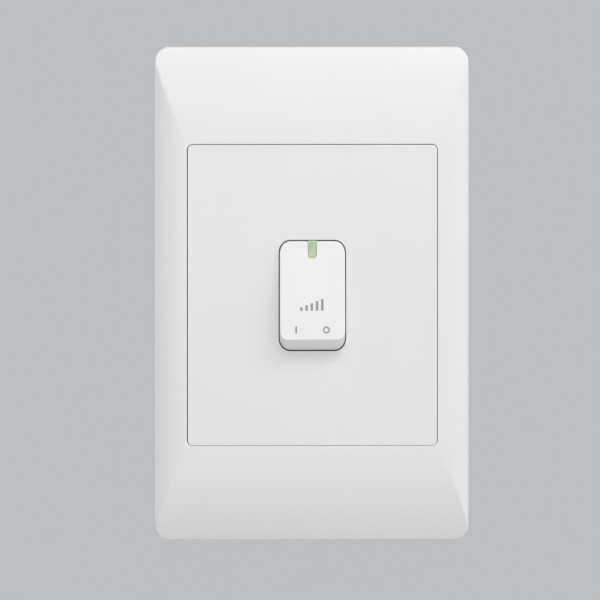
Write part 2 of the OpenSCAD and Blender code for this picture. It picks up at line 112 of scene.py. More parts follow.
# Centre panel, with its visible gap on each side
PANEL_CORNER = 1.2
PANEL_T = 2.0
PANEL_SKIRT = 1.5
PANEL_CHAMFER = 0.1     # on the skirt's back edges
GAP_LEFT, GAP_RIGHT, GAP_TOP, GAP_BOTTOM = 0.2, 0.15, 0.15, 0.08
PEG_X, PEG_Z = 26, 31
BOSS_R, PEG_R = 2.8, 1.4

# Key: a drum about its pivot, cut by the plane of its face
KEY_R = key_high.z - 0.08  # a little under the CAD key's
KEY_HALF_W = 7.82
KEY_CORNER = 2.5
KEY_GAP = 0.23          # at the sides
END_GAP = 0.28          # at the ends
KEY_DROP = 0.1          # the key and its opening lie this much below the pivot's height
KEY_WALL = 1.5
KEY_BACK = -0.4         # the back edge, as a distance in front of the pivot
FACE_TILT = math.radians(8.5)
FACE_DIST = 8.3
LOW_CORNER = 1.7        # of the face's lower corners
LOW_CORNER_FROM = 4.9   # distance from the pivot at which they start to tighten
LEAST_CORNER = 0.6
PIVOT_COLLAR_R, PIVOT_R = 2.4, 1.5
POST_Z, POST_R = -3.5, 1.3
SPRING_Z, SPRING_BOSS_R = -9, 1.8
SPRING_PIN_R, SPRING_PIN_LENGTH = 0.85, 1.2
SPRING_SEAT = 4.6       # from the pivot to the spring's front end

# Light window, from the key's top edge down
WINDOW_HALF_W, WINDOW_LENGTH = 1.075, 3.85
WINDOW_END = math.sqrt(KEY_R ** 2 - FACE_DIST ** 2) - WINDOW_LENGTH
SLOT_CORNER, LENS_CORNER = 0.83, 0.8
LENS_GAP = 0.03
PIPE_HALF_W, PIPE_LOW, PIPE_HIGH = 0.95, 9.5, 11.7

# Return spring
SPRING_WIRE_R = 0.2
SPRING_TURNS = 8
SPRING_CLOSING = 0.5    # how much closer the turns lie at both ends

# ---------- Mesh building ----------

CORNER_STEPS = 12
SIDE_STEPS = 56
SIDE_POWER = 1.6        # how closely the points of a side crowd towards its corners


def rounded_loop(half_x, half_z, corner, steps=SIDE_STEPS):
    """Points round a rectangle with rounded corners, as (x, z), crowding near the corners."""
    corner = max(corner, 1e-3)
    points = []
    for quarter in range(4):
        side_x, side_z = (1, 1, -1, -1)[quarter], (1, -1, -1, 1)[quarter]
        run_in, run_out = (half_x, half_z) if quarter % 2 == 0 else (half_z, half_x)
        part = []
        reach = run_in - corner
        for k in range(steps):
            part.append(("in", corner + reach * (1 - k / steps) ** SIDE_POWER))
        for k in range(CORNER_STEPS + 1):
            part.append(("arc", math.radians(90 * k / CORNER_STEPS)))
        reach = run_out - corner
        for k in range(1, steps):
            part.append(("out", corner + reach * (k / steps) ** SIDE_POWER))
        for kind, value in part:
            if kind == "in":
                along, across = run_in - value, run_out
            elif kind == "out":
                along, across = run_in, run_out - value
            else:
                along = run_in - corner + corner * math.sin(value)
                across = run_out - corner + corner * math.cos(value)
            x, z = (along, across) if quarter % 2 == 0 else (across, along)
            points.append((side_x * x, side_z * z))
    return points


def at_depth(loop, depth):
    """A loop of (x, z) set at one y, or at depth(x, z)."""
    if callable(depth):
        return [Vector((x, depth(x, z), z)) for x, z in loop]
    return [Vector((x, depth, z)) for x, z in loop]


def bend(a, b, c, steps):
    """Loops along a soft edge that leaves loop a, aims at sharp corner b and ends on loop c."""
    made = []
    for t in (k / steps for k in range(1, steps)):
        made.append([p * (1 - t) ** 2 + q * 2 * t * (1 - t) + r * t * t
                     for p, q, r in zip(a, b, c)])
    return made


def between(a, b, shares):
    """Loops part of the way from loop a to loop b."""
    return [[p.lerp(q, share) for p, q in zip(a, b)] for share in shares]


class Solid:
    """The closed shells of one piece, in millimetres."""

    def __init__(self):
        self.points, self.faces = [], []

    def skin(self, loops, ring=False):
        """Quads between loops of equally many points. An open run gets a cap at each end."""
        count, start, rows = len(loops[0]), len(self.points), len(loops)
        for loop in loops:
            self.points.extend(loop)
        for row in range(rows if ring else rows - 1):
            a, b = start + row * count, start + (row + 1) % rows * count
            for k in range(count):
                n = (k + 1) % count
                self.faces.append((a + k, a + n, b + n, b + k))
        if not ring:
            self.faces.append(tuple(reversed(range(start, start + count))))
            last = start + (rows - 1) * count
            self.faces.append(tuple(range(last, last + count)))
        return self

    def turned(self, profile, centre, axis, steps=48):
        """A turned shell: profile is a list of (distance along axis, radius)."""
        axis = Vector(axis).normalized()
        side = axis.orthogonal().normalized()
        other = axis.cross(side)
        loops = []
        for along, radius in profile:
            loops.append([
                Vector(centre) + axis * along
                + (side * math.cos(a) + other * math.sin(a)) * radius
                for a in (2 * math.pi * k / steps for k in range(steps))
            ])
        return self.skin(loops)

    def brick(self, low, high, edge=0.15):
        """A box with rounded upright edges and chamfered ends, its length along y."""
        cx, cz = (low[0] + high[0]) / 2, (low[2] + high[2]) / 2
        half_x, half_z = (high[0] - low[0]) / 2, (high[2] - low[2]) / 2
        loops = []
        for y, inset in ((low[1], edge), (low[1] + edge, 0),
                         (high[1] - edge, 0), (high[1], edge)):
            loop = rounded_loop(half_x - inset, half_z - inset, max(edge - inset, 0.02), 3)
            loops.append([Vector((cx + x, y, cz + z)) for x, z in loop])
        return self.skin(loops)

    def mesh(self, name):
        mesh = bpy.data.meshes.new(name)
        mesh.from_pydata([tuple(p * MM) for p in self.points], [], self.faces)
        work = bmesh.new()
        work.from_mesh(mesh)
        bmesh.ops.recalc_face_normals(work, faces=work.faces)
        work.to_mesh(mesh)
        work.free()
        return mesh


def new_object(name, data):
    item = bpy.data.objects.new(name, data)
    bpy.context.scene.collection.objects.link(item)
    return item


def shade(mesh, angle=32):
    """Smooth shading that stays sharp over edges steeper than the angle."""
    mesh.shade_smooth()
    mesh.set_sharp_from_angle(angle=math.radians(angle))


def weigh(piece):
    """Large flat faces keep their own direction, so only the soft edges look round."""
    weighted = piece.modifiers.new("flat_faces", "WEIGHTED_NORMAL")
    weighted.keep_sharp = True
    weighted.weight = 100


def add(name, mesh, angle=32):
    piece = new_object(name, mesh)
    shade(mesh, angle)
    return piece


def merge(piece, mesh, angle):
    """Adds the shells of another mesh to the piece."""
    work = bmesh.new()
    work.from_mesh(piece.data)
    work.from_mesh(mesh)
    work.to_mesh(piece.data)
    work.free()
    shade(piece.data, angle)


def cut(piece, tool):
    """Cuts a tool object out of the piece. The tool is used up."""
    step = piece.modifiers.new("cut", "BOOLEAN")
    step.object, step.operation, step.solver = tool, "DIFFERENCE", "EXACT"
    graph = bpy.context.evaluated_depsgraph_get()
    piece.data = bpy.data.meshes.new_from_object(piece.evaluated_get(graph))
    piece.modifiers.clear()
    bpy.data.objects.remove(tool)


def dress(piece, body, material, stands_for=()):
    """Gives the piece its body, slot and material, and hides the CAD nodes that it stands for."""
    piece.data.materials.clear()
    piece.data.materials.append(material)
    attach(piece, body)
    if stands_for:
        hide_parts(*stands_for)
    return piece


# ---------- Materials ----------


def surface(name, colour, tint, patch_mm, rough, grain_mm, relief_mm,
            worn=None, wear=0.0, painted_shade=None, metallic=0.0, streak=(1, 1, 1), **sockets):
    """A procedural finish: the colour drifts to tint in patches, roughness and relief follow a
    fine grain, closed-in places darken to a painted shade colour and outer edges to the worn one."""
    material = bpy.data.materials.new(name)
    material.use_nodes = True
    nodes, links = material.node_tree.nodes, material.node_tree.links
    nodes.clear()
    out = nodes.new("ShaderNodeOutputMaterial")
    shader = nodes.new("ShaderNodeBsdfPrincipled")
    links.new(shader.outputs["BSDF"], out.inputs["Surface"])
    place = nodes.new("ShaderNodeTexCoord")
    stretch = nodes.new("ShaderNodeMapping")
    stretch.inputs["Scale"].default_value = streak
    links.new(place.outputs["Object"], stretch.inputs["Vector"])

    def noise(size_mm, detail):
        node = nodes.new("ShaderNodeTexNoise")
        node.inputs["Scale"].default_value = 1 / (size_mm * MM)
        node.inputs["Detail"].default_value = detail
        links.new(stretch.outputs["Vector"], node.inputs["Vector"])
        return node.outputs["Fac"]

    def remap(value, low, high, to_low, to_high):
        node = nodes.new("ShaderNodeMapRange")
        links.new(value, node.inputs["Value"])
        for socket, number in zip(("From Min", "From Max", "To Min", "To Max"),
                                  (low, high, to_low, to_high)):
            node.inputs[socket].default_value = number
        return node.outputs["Result"]

    def mix(amount, first, second):
        node = nodes.new("ShaderNodeMix")
        node.data_type = "RGBA"
        links.new(amount, node.inputs["Factor"])
        for socket, value in ((node.inputs["A"], first), (node.inputs["B"], second)):
            if isinstance(value, tuple):
                socket.default_value = (*value, 1)
            else:
                links.new(value, socket)
        return node.outputs["Result"]

    paint = mix(remap(noise(patch_mm, 3), 0.35, 0.65, 0, 1), colour, tint)
    # painted shade: an ambient occlusion mask darkens places closed in by other surfaces, such as
    # the gaps round the key and panel
    if painted_shade:
        dark, reach_mm, shut, clear = painted_shade
        sky = nodes.new("ShaderNodeAmbientOcclusion")
        sky.samples = 8
        sky.inputs["Distance"].default_value = reach_mm * MM
        paint = mix(remap(sky.outputs["AO"], shut, clear, 0, 1), dark, paint)
    if worn:
        geometry = nodes.new("ShaderNodeNewGeometry")
        edge = remap(geometry.outputs["Pointiness"], 0.51, 0.58, 0, wear)
        paint = mix(edge, paint, worn)
    links.new(paint, shader.inputs["Base Color"])
    grain = noise(grain_mm, 4)
    links.new(remap(grain, 0.3, 0.7, *rough), shader.inputs["Roughness"])
    bump = nodes.new("ShaderNodeBump")
    bump.inputs["Strength"].default_value = 1
    bump.inputs["Distance"].default_value = relief_mm * MM
    links.new(grain, bump.inputs["Height"])
    links.new(bump.outputs["Normal"], shader.inputs["Normal"])
    shader.inputs["Metallic"].default_value = metallic
    for socket, number in sockets.items():
        shader.inputs[socket.replace("_", " ")].default_value = number
    return material


WHITE = dict(rough=(0.38, 0.48), grain_mm=0.35, relief_mm=0.004)
# Painted shade in gaps and crevices: colour, reach in mm, and the shares of open sky at which it
# is full and none
PLATE_PAINTED_SHADE = ((0.07, 0.07, 0.07), 0.9, 0.12, 0.42)
KEY_PAINTED_SHADE = ((0.05, 0.05, 0.05), 1.2, 0.3, 0.66)
STEEL = dict(rough=(0.28, 0.44), metallic=1.0, grain_mm=0.5, relief_mm=0.006)
DULL = dict(rough=(0.5, 0.65), grain_mm=0.4, relief_mm=0.01)

looks = {
    "white_moulding": surface("white_moulding", (0.798, 0.798, 0.797), (0.789, 0.789, 0.788), 18,
                              worn=(0.83, 0.83, 0.83), wear=0.4, painted_shade=PLATE_PAINTED_SHADE, **WHITE),
    "white_panel": surface("white_panel", (0.795, 0.795, 0.794), (0.786, 0.786, 0.785), 22,
                           worn=(0.82, 0.82, 0.82), wear=0.4, painted_shade=PLATE_PAINTED_SHADE, **WHITE),
    "white_key": surface("white_key", (0.836, 0.834, 0.829), (0.828, 0.826, 0.822), 9,
                         worn=(0.86, 0.86, 0.86), wear=0.5, painted_shade=KEY_PAINTED_SHADE, **WHITE),
    "light_window": surface("light_window", (0.405, 0.51, 0.32), (0.455, 0.56, 0.365), 2.5,
                            rough=(0.25, 0.35), grain_mm=0.3, relief_mm=0.002,
                            worn=(0.55, 0.65, 0.46), wear=0.5),
    "zinc_steel": surface("zinc_steel", (0.60, 0.60, 0.58), (0.52, 0.53, 0.53), 6,
                          worn=(0.72, 0.72, 0.70), wear=0.6, **STEEL),
    "screw_steel": surface("screw_steel", (0.63, 0.63, 0.61), (0.54, 0.54, 0.54), 2,
                           worn=(0.75, 0.75, 0.73), wear=0.7, **STEEL),
    "brass_parts": surface("brass_parts", (0.70, 0.52, 0.26), (0.60, 0.43, 0.20), 3,
                           worn=(0.80, 0.64, 0.36), wear=0.6, **STEEL),
    "case_plastic": surface("case_plastic", (0.50, 0.50, 0.49), (0.46, 0.46, 0.455), 14,
                            worn=(0.58, 0.58, 0.57), wear=0.5, **DULL),
    "black_screw": surface("black_screw", (0.035, 0.035, 0.037), (0.02, 0.02, 0.022), 1.5,
                           rough=(0.3, 0.5), grain_mm=0.3, relief_mm=0.006,
                           worn=(0.16, 0.16, 0.16), wear=0.8),
    "board_laminate": surface("board_laminate", (0.03, 0.17, 0.08), (0.02, 0.13, 0.06), 5,
                              rough=(0.3, 0.45), grain_mm=0.6, relief_mm=0.01,
                              worn=(0.30, 0.28, 0.16), wear=0.6),
    "black_plastic": surface("black_plastic", (0.025, 0.025, 0.025), (0.035, 0.035, 0.034), 3,
                             worn=(0.09, 0.09, 0.09), wear=0.5, **DULL),
    "plunger_plastic": surface("plunger_plastic", (0.42, 0.08, 0.05), (0.36, 0.06, 0.04), 1.5,
                               worn=(0.5, 0.16, 0.12), wear=0.4, **DULL),
    "lamp_resin": surface("lamp_resin", (0.42, 0.62, 0.32), (0.36, 0.56, 0.28), 1.5,
                          rough=(0.08, 0.16), grain_mm=0.4, relief_mm=0.001,
                          worn=(0.6, 0.75, 0.5), wear=0.3),
    "spring_steel": surface("spring_steel", (0.50, 0.50, 0.50), (0.42, 0.42, 0.43), 1.5,
                            worn=(0.66, 0.66, 0.66), wear=0.4, **STEEL),
    "ferrite": surface("ferrite", (0.07, 0.08, 0.07), (0.10, 0.11, 0.09), 2,
                       worn=(0.2, 0.2, 0.19), wear=0.5, **DULL),
    "copper_wire": surface("copper_wire", (0.48, 0.17, 0.06), (0.40, 0.13, 0.045), 2,
                           rough=(0.2, 0.32), metallic=0.6, grain_mm=0.5, relief_mm=0.003,
                           worn=(0.6, 0.26, 0.12), wear=0.4),
    "yellow_resin": surface("yellow_resin", (0.72, 0.47, 0.05), (0.66, 0.42, 0.04), 4,
                            rough=(0.3, 0.42), grain_mm=0.6, relief_mm=0.008,
                            worn=(0.8, 0.58, 0.16), wear=0.4),
    "bare_aluminium": surface("bare_aluminium", (0.72, 0.72, 0.72), (0.66, 0.66, 0.67), 3,
                              rough=(0.3, 0.45), metallic=1.0, grain_mm=0.8, relief_mm=0.006,
                              streak=(1, 1, 0.1), worn=(0.82, 0.82, 0.82), wear=0.5),
    "fuse_ceramic": surface("fuse_ceramic", (0.78, 0.75, 0.68), (0.73, 0.70, 0.63), 2,
                            rough=(0.15, 0.25), grain_mm=0.7, relief_mm=0.003,
                            worn=(0.85, 0.83, 0.78), wear=0.3),
    "tinned_clip": surface("tinned_clip", (0.66, 0.66, 0.64), (0.58, 0.58, 0.57), 2,
                           worn=(0.76, 0.76, 0.74), wear=0.5, **STEEL),
    "blue_resin": surface("blue_resin", (0.03, 0.10, 0.40), (0.025, 0.08, 0.33), 2,
                          rough=(0.15, 0.28), grain_mm=0.8, relief_mm=0.01,
                          worn=(0.10, 0.2, 0.5), wear=0.4),
    "sleeve_film": surface("sleeve_film", (0.015, 0.035, 0.14), (0.02, 0.05, 0.18), 3,
                           rough=(0.12, 0.22), grain_mm=1.0, relief_mm=0.01,
                           worn=(0.08, 0.12, 0.3), wear=0.3),
    "tan_lacquer": surface("tan_lacquer", (0.58, 0.40, 0.23), (0.50, 0.33, 0.18), 1.5,
                           rough=(0.25, 0.38), grain_mm=0.4, relief_mm=0.006,
                           worn=(0.7, 0.54, 0.36), wear=0.4),
    "terminal_steel": surface("terminal_steel", (0.61, 0.60, 0.58), (0.52, 0.52, 0.50), 2,
                              worn=(0.74, 0.74, 0.72), wear=0.6, **STEEL),
}
ink = surface("grey_print", (0.30, 0.305, 0.31), (0.34, 0.345, 0.35), 0.6,
              rough=(0.55, 0.7), grain_mm=0.15, relief_mm=0.003)

# ---------- Cover frame ----------

crown_x, crown_z = panel_high.x + WINDOW_GAP, panel_high.z + WINDOW_GAP


def arc_drop(distance, radius):
    reach = min(distance, radius * 0.999)
    return CROWN_FLAT * (radius - math.sqrt(radius * radius - reach * reach))


def crown(x, z):
    """Depth of the frame's crowned face. The side and end slopes meet in a soft mitre."""
    side = arc_drop(max(0, abs(x) - crown_x), SIDE_CROWN_R)
    end = arc_drop(max(0, abs(z) - crown_z), END_CROWN_R)
    soft = CREASE_SOFT * (1 - math.exp(-max(side, end) / 0.25))
    return FRONT + (side + end + math.sqrt((side - end) ** 2 + soft * soft)) / 2


def crease_end(u):
    """Distance past the panel's end at which the mitre lies, for a distance past its side."""
    level = SIDE_CROWN_R - math.sqrt(SIDE_CROWN_R ** 2 - u * u)
    return math.sqrt(END_CROWN_R ** 2 - (END_CROWN_R - level) ** 2)


def inner_face(x, z):
    """Depth of the frame's face on its inner side."""
    return crown(x, z) + FRAME_WALL


def frame_piece():
    outer_x, outer_z = frame_high.x, frame_high.z
    lip = 0.1

    def outline(inset):
        return rounded_loop(outer_x - inset, outer_z - inset, max(FRAME_CORNER - inset, 0.4))

    def window(outset):
        return rounded_loop(crown_x + outset, crown_z + outset, WINDOW_CORNER + outset)

    loops = []
    # Face, from the window to the rim, with the rings' corners along the mitre
    steps, u_first, u_last = 46, lip, outer_x - crown_x - RIM_FILLET
    v_last = outer_z - crown_z - RIM_FILLET
    miss = v_last - crease_end(u_last)
    for k in range(steps + 1):
        t = k / steps
        u = u_first + (u_last - u_first) * t
        late = max(0, (t - 0.55) / 0.45)
        v = crease_end(u) + miss * late * late * (3 - 2 * late)
        v = max(v, lip + (v_last - lip) * 0.25 * t)
        corner = WINDOW_CORNER + lip + (FRAME_CORNER - RIM_FILLET - WINDOW_CORNER - lip) * t
        loops.append(at_depth(rounded_loop(crown_x + u, crown_z + v, corner), crown))
    sharp = at_depth(outline(0), crown)
    lower = [p + Vector((0, RIM_FILLET, 0)) for p in sharp]
    loops += bend(loops[-1], sharp, lower, 6)
    loops.append(lower)
    # Outer wall, back rim, inner wall
    foot = at_depth(outline(0), -RIM_CHAMFER)
    loops += between(lower, foot, (0.3, 0.7, 0.97))
    loops.append(foot)
    loops.append(at_depth(outline(RIM_CHAMFER), 0))
    loops.append(at_depth(outline(FRAME_WALL - RIM_CHAMFER), 0))
    inner_foot = at_depth(outline(FRAME_WALL), -RIM_CHAMFER)
    inner_top = at_depth(outline(FRAME_WALL), inner_face)
    loops.append(inner_foot)
    loops += between(inner_foot, inner_top, (0.3, 0.7))
    # Underside, collar and window edge
    loops.append(inner_top)
    collar = window(COLLAR_T)
    collar_top = at_depth(collar, inner_face)
    for ring in between(inner_top, collar_top, [k / 12 for k in range(1, 12)]):
        loops.append([Vector((p.x, inner_face(p.x, p.z), p.z)) for p in ring])
    loops.append(collar_top)
    loops.append(at_depth(collar, COLLAR_BACK - 0.1))
    loops.append(at_depth(window(COLLAR_T - 0.1), COLLAR_BACK))
    loops.append(at_depth(window(0.1), COLLAR_BACK))
    loops.append(at_depth(window(0), COLLAR_BACK - 0.1))
    wall_top = at_depth(window(0), FRONT + lip)
    loops.append(at_depth(window(0), (COLLAR_BACK + FRONT) / 2))
    loops.append(wall_top)
    loops += bend(wall_top, at_depth(window(0), crown), loops[0], 5)
    solid = Solid().skin(loops, ring=True)
    # Arms that go into the yoke's slots, each with a rib on its inner side
    root = FRONT + FRAME_WALL - 0.2
    for side_x in (-1, 1):
        for side_z in (-1, 1):
            cx, cz = side_x * ARM_X, side_z * ARM_Z
            solid.brick((cx - ARM_HALF_W, root, cz - ARM_HALF_T),
                        (cx + ARM_HALF_W, ARM_END, cz + ARM_HALF_T), 0.2)
            rib_z = cz - side_z * ARM_RIB_SHIFT
            solid.brick((cx - ARM_RIB_HALF_W, root, rib_z - ARM_RIB_HALF_T),
                        (cx + ARM_RIB_HALF_W, ARM_RIB_END, rib_z + ARM_RIB_HALF_T), 0.15)
    # Stiffening ribs under the wide ends, their tops inside the wall
    for side_z in (-1, 1):
        for x in RIB_SPOTS:
            ends = [side_z * (RIB_START + RIB_LENGTH * k / 12) for k in range(13)]
            tops = [Vector((0, crown(x, z) + FRAME_WALL * RIB_SUNK, z)) for z in ends]
            section = [Vector((0, RIB_BACK, ends[0])), *tops,
                       Vector((0, max(tops[-1].y + 0.6, RIB_BACK), ends[-1]))]
            solid.skin([[p + Vector((x + side, 0, 0)) for p in section]
                        for side in (-RIB_HALF_T, RIB_HALF_T)])
    piece = add("outer_frame_moulding", solid.mesh("outer_frame_moulding"), 40)
    weigh(piece)
    return dress(piece, "cover", looks["white_moulding"], ["outer_frame"])


# ---------- Centre panel ----------


def drum_loop(loop, corner_z, depth):
    """A loop of (x, radius) on a drum about the pivot, cut by the plane y = depth. corner_z is
    the radius up to which the loop's sides are straight."""
    rise = depth - pivot.y
    points = []
    for x, rho in loop:
        if abs(rho) >= corner_z:
            z = math.copysign(math.sqrt(max(rho * rho - rise * rise, 0)), rho)
        else:
            z = rho / corner_z * math.sqrt(corner_z * corner_z - rise * rise)
        points.append(Vector((x, depth, z - KEY_DROP)))
    return points


def panel_piece():
    soft, lip = 0.1, 0.07
    under, back = FRONT + PANEL_T, yoke_low.y
    # The panel sits a little low and to the right in its window
    half_x = crown_x - (GAP_LEFT + GAP_RIGHT) / 2
    half_z = crown_z - (GAP_TOP + GAP_BOTTOM) / 2
    shift_x, shift_z = (GAP_LEFT - GAP_RIGHT) / 2, (GAP_BOTTOM - GAP_TOP) / 2

    def outline(inset):
        loop = rounded_loop(half_x - inset, half_z - inset, max(PANEL_CORNER - inset, 0.35))
        return [(x + shift_x, z + shift_z) for x, z in loop]

    def opening(outset):
        return rounded_loop(KEY_HALF_W + KEY_GAP + outset, KEY_R + END_GAP + outset,
                            KEY_CORNER + KEY_GAP + outset)

    corner_z = KEY_R + END_GAP - KEY_CORNER - KEY_GAP
    rim = outline(0)
    # Front edge, outer wall, back edge and inner wall of the skirt
    loops = [at_depth(outline(soft + 0.15), FRONT), at_depth(outline(soft), FRONT)]
    loops += bend(loops[-1], at_depth(rim, FRONT), at_depth(rim, FRONT + soft), 5)
    for inset, depth in ((0, FRONT + soft), (0, (FRONT + back) / 2), (0, back - PANEL_CHAMFER),
                         (PANEL_CHAMFER, back), (PANEL_SKIRT - PANEL_CHAMFER, back),
                         (PANEL_SKIRT, back - PANEL_CHAMFER), (PANEL_SKIRT, under + 0.3),
                         (PANEL_SKIRT + 0.3, under)):
        loops.append(at_depth(outline(inset), depth))
    # The key's opening, from behind to its front edge
    loops.append(drum_loop(opening(0.2), corner_z, under))
    loops.append(drum_loop(opening(0), corner_z, under - 0.1))
    wall_top = drum_loop(opening(0), corner_z, FRONT + lip)
    loops += between(loops[-1], wall_top, (0.5,))
    loops.append(wall_top)
    edge = drum_loop(opening(lip), corner_z, FRONT)
    loops += bend(wall_top, drum_loop(opening(0), corner_z, FRONT), edge, 5)
    loops.append(edge)
    loops.append(drum_loop(opening(lip + 0.15), corner_z, FRONT))
    solid = Solid().skin(loops, ring=True)
    # Bosses, and the pegs that stand on them, through the yoke
    for side_x in (-1, 1):
        for side_z in (-1, 1):
            centre = (side_x * PEG_X, 0, side_z * PEG_Z)
            solid.turned([(under - 0.3, 3.1), (under + 0.3, BOSS_R), (back - 0.1, BOSS_R),
                          (back, 2.7)], centre, (0, 1, 0))
            solid.turned([(back - 0.4, PEG_R), (yoke_high.y - 0.35, PEG_R), (yoke_high.y, 1.1)],
                         centre, (0, 1, 0), 32)
    piece = add("centre_panel_moulding", solid.mesh("centre_panel_moulding"), 40)
    weigh(piece)
    return dress(piece, "base", looks["white_panel"], ["centre_panel"])


# ---------- Key, light window and printed symbols ----------


def face_axes(tilt):
    """Directions out of and up the key's face."""
    return (Vector((0, -math.cos(tilt), math.sin(tilt))),
            Vector((0, math.sin(tilt), math.cos(tilt))))


def on_face(x, up, lift=0.0):
    """Point on the key's face, or above it."""
    out, along = face_axes(FACE_TILT)
    return pivot + out * (FACE_DIST + lift) + along * up + Vector((x, 0, -KEY_DROP))


def drum_section(inset, dist, tilt, edge=0.0):
    """Section of the key's drum by a plane at a distance from the pivot. inset reduces the
    drum's radius, width and corners, and edge draws the section in within its own plane. The
    lower corners tighten towards the face."""
    out, along = face_axes(tilt)
    radius, half_w = KEY_R - inset, KEY_HALF_W - inset
    proud = max(0, (dist - LOW_CORNER_FROM) / (FACE_DIST - LOW_CORNER_FROM))
    low_corner = KEY_CORNER + (LOW_CORNER - KEY_CORNER) * proud
    corners = [max(corner - inset, LEAST_CORNER) for corner in (KEY_CORNER, low_corner)]
    full = math.sqrt(radius * radius - dist * dist)
    points = []
    for upper, lower in zip(*(rounded_loop(half_w, radius, corner, 26) for corner in corners)):
        x, rho = lower if lower[1] < 0 else upper
        straight = radius - corners[1 if rho < 0 else 0]
        side = math.sqrt(straight * straight - dist * dist)
        if abs(rho) >= straight:
            up = math.copysign(math.sqrt(max(rho * rho - dist * dist, 0)), rho)
        else:
            up = rho / straight * side
        points.append(pivot + out * dist + along * up * (full - edge) / full
                      + Vector((x * (half_w - edge) / half_w, 0, -KEY_DROP)))
    return points


def key_piece():
    soft = 0.22
    face = drum_section(0, FACE_DIST, FACE_TILT, soft)
    loops = [drum_section(0, FACE_DIST, FACE_TILT, soft + 0.5),
             drum_section(0, FACE_DIST, FACE_TILT, soft + 0.12), face]
    lower = drum_section(0, FACE_DIST - soft, FACE_TILT * (1 - soft / (FACE_DIST - KEY_BACK)))
    loops += bend(face, drum_section(0, FACE_DIST, FACE_TILT), lower, 7)
    loops.append(lower)
    depth = FACE_DIST - KEY_BACK

    def section(inset, share):
        return drum_section(inset, FACE_DIST - depth * share, FACE_TILT * (1 - share))

    loops += [section(0, 0.07 + 0.92 * k / 26) for k in range(27)]
    loops += [section(0.12, 1.0), section(KEY_WALL - 0.12, 1.0)]
    roof = KEY_WALL / depth
    loops += [section(KEY_WALL, 0.99 + (roof - 0.99) * k / 12) for k in range(13)]
    piece = add("key_moulding", Solid().skin(loops).mesh("key_moulding"), 40)
    # Slot for the light window
    slot = Solid().skin([window_loop(WINDOW_HALF_W, WINDOW_END, SLOT_CORNER, KEY_R + 2, lift)
                         for lift in (1.0, -3.0)])
    cut(piece, add("slot_tool", slot.mesh("slot_tool")))
    # Trunnions, post, spring boss and its pin behind the face
    extras = Solid()
    for side in (-1, 1):
        start = side * (KEY_HALF_W - KEY_WALL)
        reach = key_high.x - abs(start)
        root = (start, pivot.y, pivot.z)
        extras.turned([(0, PIVOT_COLLAR_R), (KEY_WALL, PIVOT_COLLAR_R)], root, (side, 0, 0))
        extras.turned([(KEY_WALL - 0.5, PIVOT_R), (reach - 0.3, PIVOT_R), (reach, 1.2)],
                      root, (side, 0, 0), 40)
    inner = pivot.y - FACE_DIST + KEY_WALL - 0.4
    tip = key_high.y
    extras.turned([(inner, 1.6), (inner + 0.6, POST_R), (tip - 0.75, POST_R), (tip - 0.1, 0.6),
                   (tip, 0.4)], (0, 0, POST_Z), (0, 1, 0), 40)
    seat = pivot.y - SPRING_SEAT
    extras.turned([(inner - 1.0, SPRING_BOSS_R), (seat - 0.1, SPRING_BOSS_R), (seat, 1.7)],
                  (0, 0, SPRING_Z), (0, 1, 0), 40)
    extras.turned([(seat - 0.5, SPRING_PIN_R), (seat + 0.9, SPRING_PIN_R),
                   (seat + SPRING_PIN_LENGTH, 0.6)], (0, 0, SPRING_Z), (0, 1, 0), 40)
    merge(piece, extras.mesh("key_extras"), 40)
    weigh(piece)
    return dress(piece, "key", looks["white_key"], ["rocker"])


def window_loop(half_w, low, corner, top, lift):
    """U-shaped outline of the light window on the face, at a lift above it."""
    turns = [math.radians(90 * k / 12) for k in range(13)]
    inner, rise = half_w - corner, low + corner
    loop = [(-(inner + corner * math.cos(a)), rise - corner * math.sin(a)) for a in turns]
    loop += [(inner + corner * math.sin(a), rise - corner * math.cos(a)) for a in turns]
    loop += [(half_w, top), (-half_w, top)]
    return [on_face(x, up, lift) for x, up in loop]


def lens_piece():
    proud, soft = 0.15, 0.12
    half_w, end = WINDOW_HALF_W - LENS_GAP, WINDOW_END + LENS_GAP
    loops = []
    for lift, inset in ((-0.02, soft + 0.2), (-0.02, soft), (-0.04, soft * 0.4), (-0.02 - soft, 0),
                        (-0.8, 0), (-1.6, 0), (-1.95, 0)):
        dist = FACE_DIST + lift
        top = math.sqrt((KEY_R + proud - inset * 0.6) ** 2 - dist * dist)
        corner = LENS_CORNER - inset * 0.5
        loops.append(window_loop(half_w - inset, end + inset, corner, top, lift))
    solid = Solid().skin(loops)
    # Light pipe back to the lamp
    pipe_end = box_mm("indicator_lens")[1].y
    solid.brick((-PIPE_HALF_W, pivot.y - FACE_DIST + 2.0, PIPE_LOW),
                (PIPE_HALF_W, pipe_end, PIPE_HIGH), 0.1)
    piece = add("light_window_insert", solid.mesh("light_window_insert"))
    weigh(piece)
    return dress(piece, "key", looks["light_window"], ["indicator_lens"])


# Symbols on the key's face, x across it and z up it
PRINT_T = 0.02
BARS, BAR_W, BAR_STEP = 5, 0.6, 1.25
BARS_X, BARS_Z = -2.67, -4.75
BAR_H, BAR_RISE = 0.8, 0.5
LINE_X, LINE_Z, LINE_W, LINE_H = -3.93, -10.25, 0.4, 1.72
RING_X, RING_Z, RING_R, RING_HOLE_R = 3.3, -9.39, 0.86, 0.5


def printed(solid, outline, inner=None):
    """A printed shape with a little thickness. outline and inner are (x, up) on the face."""
    if inner is None:
        solid.skin([[on_face(x, up, lift) for x, up in outline] for lift in (-0.02, PRINT_T)])
    else:
        solid.skin([[on_face(x, up, lift) for x, up in path]
                    for path, lift in ((outline, -0.02), (outline, PRINT_T),
                                       (inner, PRINT_T), (inner, -0.02))], ring=True)


def bar(x, low, width, height):
    return [(x - width / 2, low), (x + width / 2, low),
            (x + width / 2, low + height), (x - width / 2, low + height)]


def circle(x, up, radius, steps=40):
    return [(x + radius * math.cos(a), up + radius * math.sin(a))
            for a in (2 * math.pi * k / steps for k in range(steps))]


